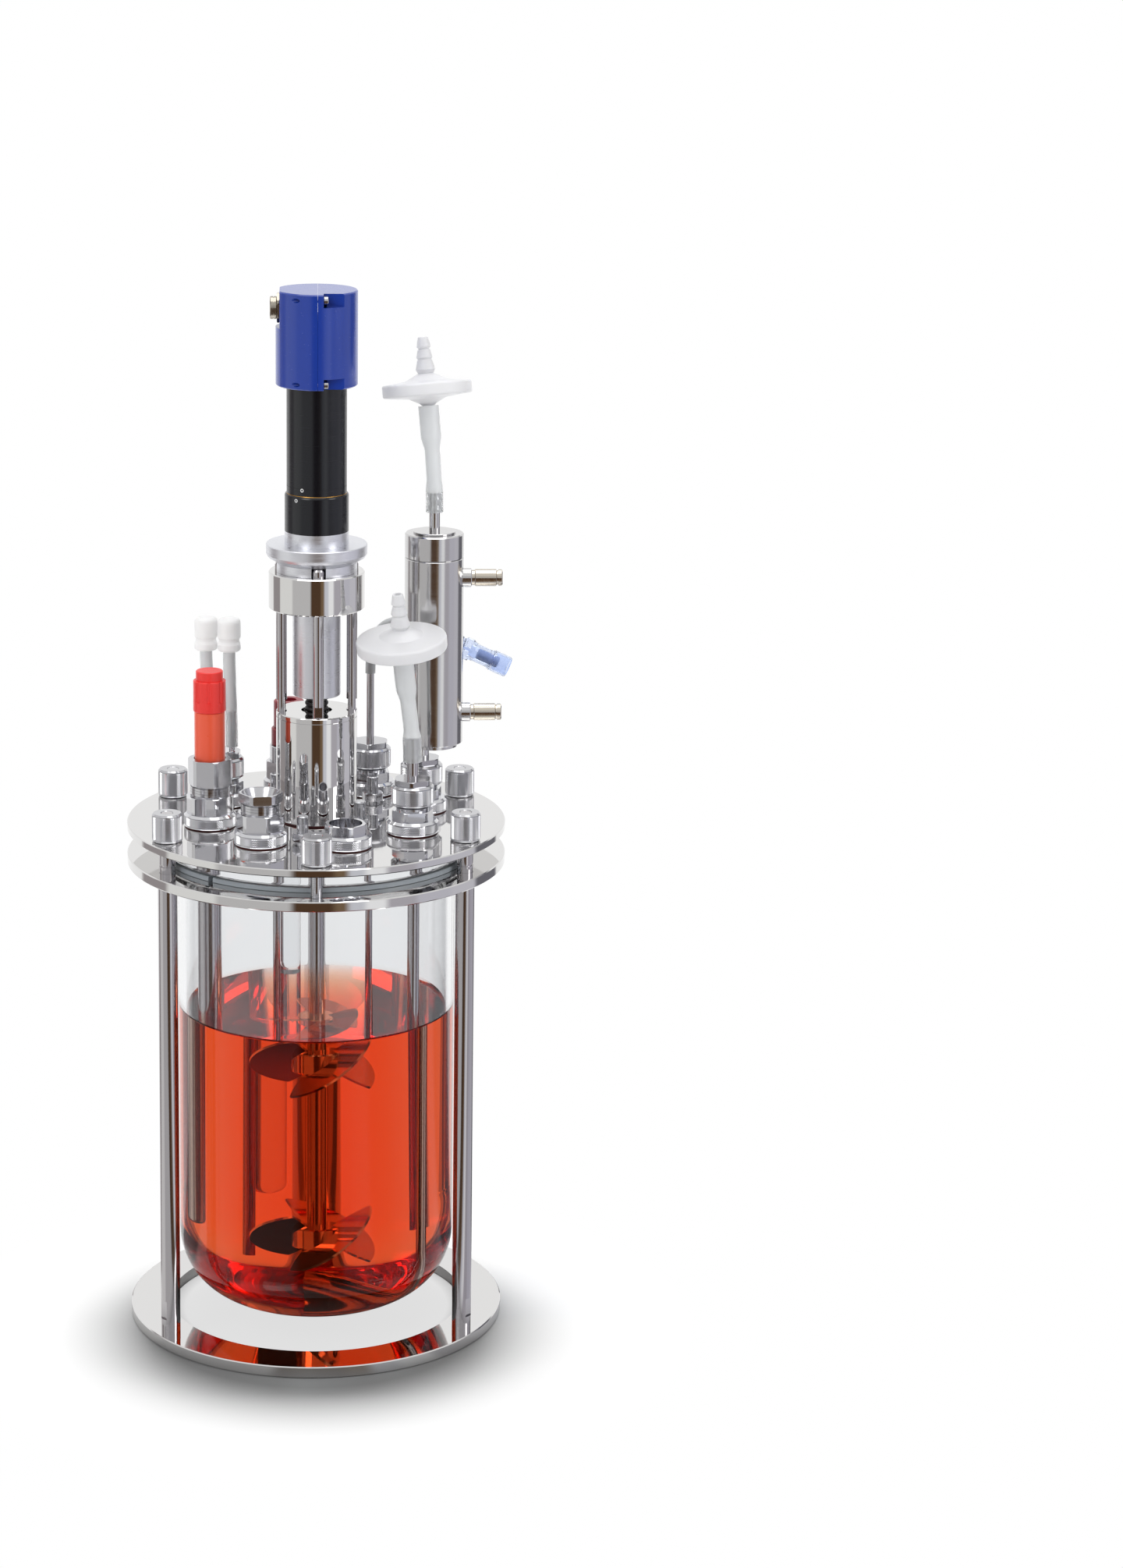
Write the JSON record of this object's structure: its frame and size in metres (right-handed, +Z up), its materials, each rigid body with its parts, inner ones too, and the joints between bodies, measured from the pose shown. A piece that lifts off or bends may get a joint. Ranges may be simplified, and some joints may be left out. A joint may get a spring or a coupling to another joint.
{
  "type": "bench bioreactor",
  "caption": "Bench bioreactor: round-bottomed glass vessel in a legged steel stand, with clamped head plate, ports, probes, condenser, vent filters and a geared stirrer motor on top.",
  "frame": {"origin": "on the vessel's vertical axis at the bench, the underside of the base ring", "axes": "+Z up along the stirrer shaft; +X towards the condenser side with the coolant fittings; -Y towards the front, where the motor cover has its seam"},
  "size_m": [0.2024, 0.197, 0.5491],
  "materials": {
    "polished_steel": "polished stainless steel",
    "turned_steel": "fine turned stainless steel",
    "knurled_steel": "diamond knurled, matt",
    "glass": "clear borosilicate",
    "medium": "clear orange-red liquid",
    "cushion": "blue-grey, satin",
    "dark_seal": "dark red fluoro rubber",
    "black_rubber": "ribbed, matt",
    "bearing_steel": "shielded bearings",
    "sleeve_aluminium": "satin anodised",
    "flange_aluminium": "fine turned",
    "black_anodised": "satin black anodised",
    "blue_cover": "satin blue",
    "nickel": "nickel-plated brass",
    "socket_nickel": "nickel plated",
    "probe_steel": "ground stainless steel",
    "orange_plastic": "gloss orange-red",
    "red_plastic": "moulded red",
    "dark_red_plastic": "moulded dark red",
    "probe_glass": "clear glass",
    "silicone": "translucent silicone",
    "filter_plastic": "off-white polypropylene",
    "valve_plastic": "clear lilac",
    "blue_plastic": "blue",
    "cap_plastic": "translucent natural plastic"
  },
  "bodies": {
    "stand_and_vessel": {"base_ring": "polished_steel", "legs": "polished_steel", "flange_ring": "polished_steel", "vessel": "glass", "culture_medium": "medium", "split_cushion": "cushion", "head_plate": "polished_steel", "clamp_studs": "turned_steel", "plate_plugs": "turned_steel", "seals": "dark_seal", "bearing_housing": "polished_steel", "shaft_bearings": "bearing_steel", "tower_rods": "polished_steel", "tower_collar": "polished_steel", "motor_spigot": "flange_aluminium", "motor_flange": "flange_aluminium", "gearhead": "black_anodised", "motor_barrel": "black_anodised", "motor_cover_left": "blue_cover", "motor_cover_right": "blue_cover", "cover_screws": "turned_steel", "motor_socket": "socket_nickel", "tall_ports": "polished_steel", "short_ports": "polished_steel", "probe_glands": "polished_steel", "oxygen_probe": "probe_steel", "probe_sleeve": "orange_plastic", "probe_cap": "red_plastic", "ph_probe": "probe_glass", "ph_head": "dark_red_plastic", "sparger": "polished_steel", "sample_pipe": "polished_steel", "dip_tube": "polished_steel", "feed_pipes": "turned_steel", "condenser": "polished_steel", "condenser_cap": "polished_steel", "coolant_fittings": "nickel", "silicone_hoses": "silicone", "vent_filters": "filter_plastic", "sample_valve": "valve_plastic", "feed_caps": "cap_plastic"},
    "stirrer": {"stirrer_shaft": "turned_steel", "impeller_upper": "polished_steel", "impeller_lower": "polished_steel", "shaft_bellows": "black_rubber", "coupling_sleeve": "sleeve_aluminium", "motor_shaft": "turned_steel"},
    "clamp_nut_1": {"clamp_nut_1": "knurled_steel"},
    "clamp_nut_2": {"clamp_nut_2": "knurled_steel"},
    "clamp_nut_3": {"clamp_nut_3": "knurled_steel"},
    "clamp_nut_4": {"clamp_nut_4": "knurled_steel"},
    "clamp_nut_5": {"clamp_nut_5": "knurled_steel"},
    "clamp_nut_6": {"clamp_nut_6": "knurled_steel"},
    "cap_gas": {"cap_gas": "knurled_steel"},
    "cap_condenser": {"cap_condenser": "knurled_steel"},
    "cap_sample": {"cap_sample": "knurled_steel"},
    "cap_feed": {"cap_feed": "knurled_steel"},
    "release_ring_upper": {"release_ring_upper": "nickel"},
    "release_ring_lower": {"release_ring_lower": "nickel"},
    "valve_piston": {"valve_piston": "blue_plastic"}
  },
  "joints": [
    {"name": "stirrer_spin", "type": "hinge", "parent": "stand_and_vessel", "child": "stirrer", "pos_m": [0, 0, 0.3], "axis": [0, 0, 1], "continuous": true},
    {"name": "clamp_nut_1_turn", "type": "hinge", "parent": "stand_and_vessel", "child": "clamp_nut_1", "pos_m": [0.07621, 0.044, 0.2785], "axis": [0, 0, 1], "continuous": true},
    {"name": "clamp_nut_2_turn", "type": "hinge", "parent": "stand_and_vessel", "child": "clamp_nut_2", "pos_m": [0, 0.088, 0.2785], "axis": [0, 0, 1], "continuous": true},
    {"name": "clamp_nut_3_turn", "type": "hinge", "parent": "stand_and_vessel", "child": "clamp_nut_3", "pos_m": [-0.07621, 0.044, 0.2785], "axis": [0, 0, 1], "continuous": true},
    {"name": "clamp_nut_4_turn", "type": "hinge", "parent": "stand_and_vessel", "child": "clamp_nut_4", "pos_m": [-0.07621, -0.044, 0.2785], "axis": [0, 0, 1], "continuous": true},
    {"name": "clamp_nut_5_turn", "type": "hinge", "parent": "stand_and_vessel", "child": "clamp_nut_5", "pos_m": [0, -0.088, 0.2785], "axis": [0, 0, 1], "continuous": true},
    {"name": "clamp_nut_6_turn", "type": "hinge", "parent": "stand_and_vessel", "child": "clamp_nut_6", "pos_m": [0.07621, -0.044, 0.2785], "axis": [0, 0, 1], "continuous": true},
    {"name": "cap_gas_turn", "type": "hinge", "parent": "stand_and_vessel", "child": "cap_gas", "pos_m": [0.04936, -0.0285, 0.29], "axis": [0, 0, 1], "continuous": true},
    {"name": "cap_condenser_turn", "type": "hinge", "parent": "stand_and_vessel", "child": "cap_condenser", "pos_m": [0.05506, 0.01475, 0.29], "axis": [0, 0, 1], "continuous": true},
    {"name": "cap_sample_turn", "type": "hinge", "parent": "stand_and_vessel", "child": "cap_sample", "pos_m": [0.0285, 0.04936, 0.29], "axis": [0, 0, 1], "continuous": true},
    {"name": "cap_feed_turn", "type": "hinge", "parent": "stand_and_vessel", "child": "cap_feed", "pos_m": [-0.04936, 0.0285, 0.29], "axis": [0, 0, 1], "continuous": true},
    {"name": "release_ring_upper_press", "type": "slide", "parent": "stand_and_vessel", "child": "release_ring_upper", "axis": [-1, 0, 0], "range_m": [0, 0.0007], "stiffness_N_per_m": 400},
    {"name": "release_ring_lower_press", "type": "slide", "parent": "stand_and_vessel", "child": "release_ring_lower", "axis": [-1, 0, 0], "range_m": [0, 0.0007], "stiffness_N_per_m": 400},
    {"name": "valve_piston_press", "type": "slide", "parent": "stand_and_vessel", "child": "valve_piston", "axis": [-0.9063, 0, 0.4226], "range_m": [0, 0.004], "stiffness_N_per_m": 300}
  ]
}
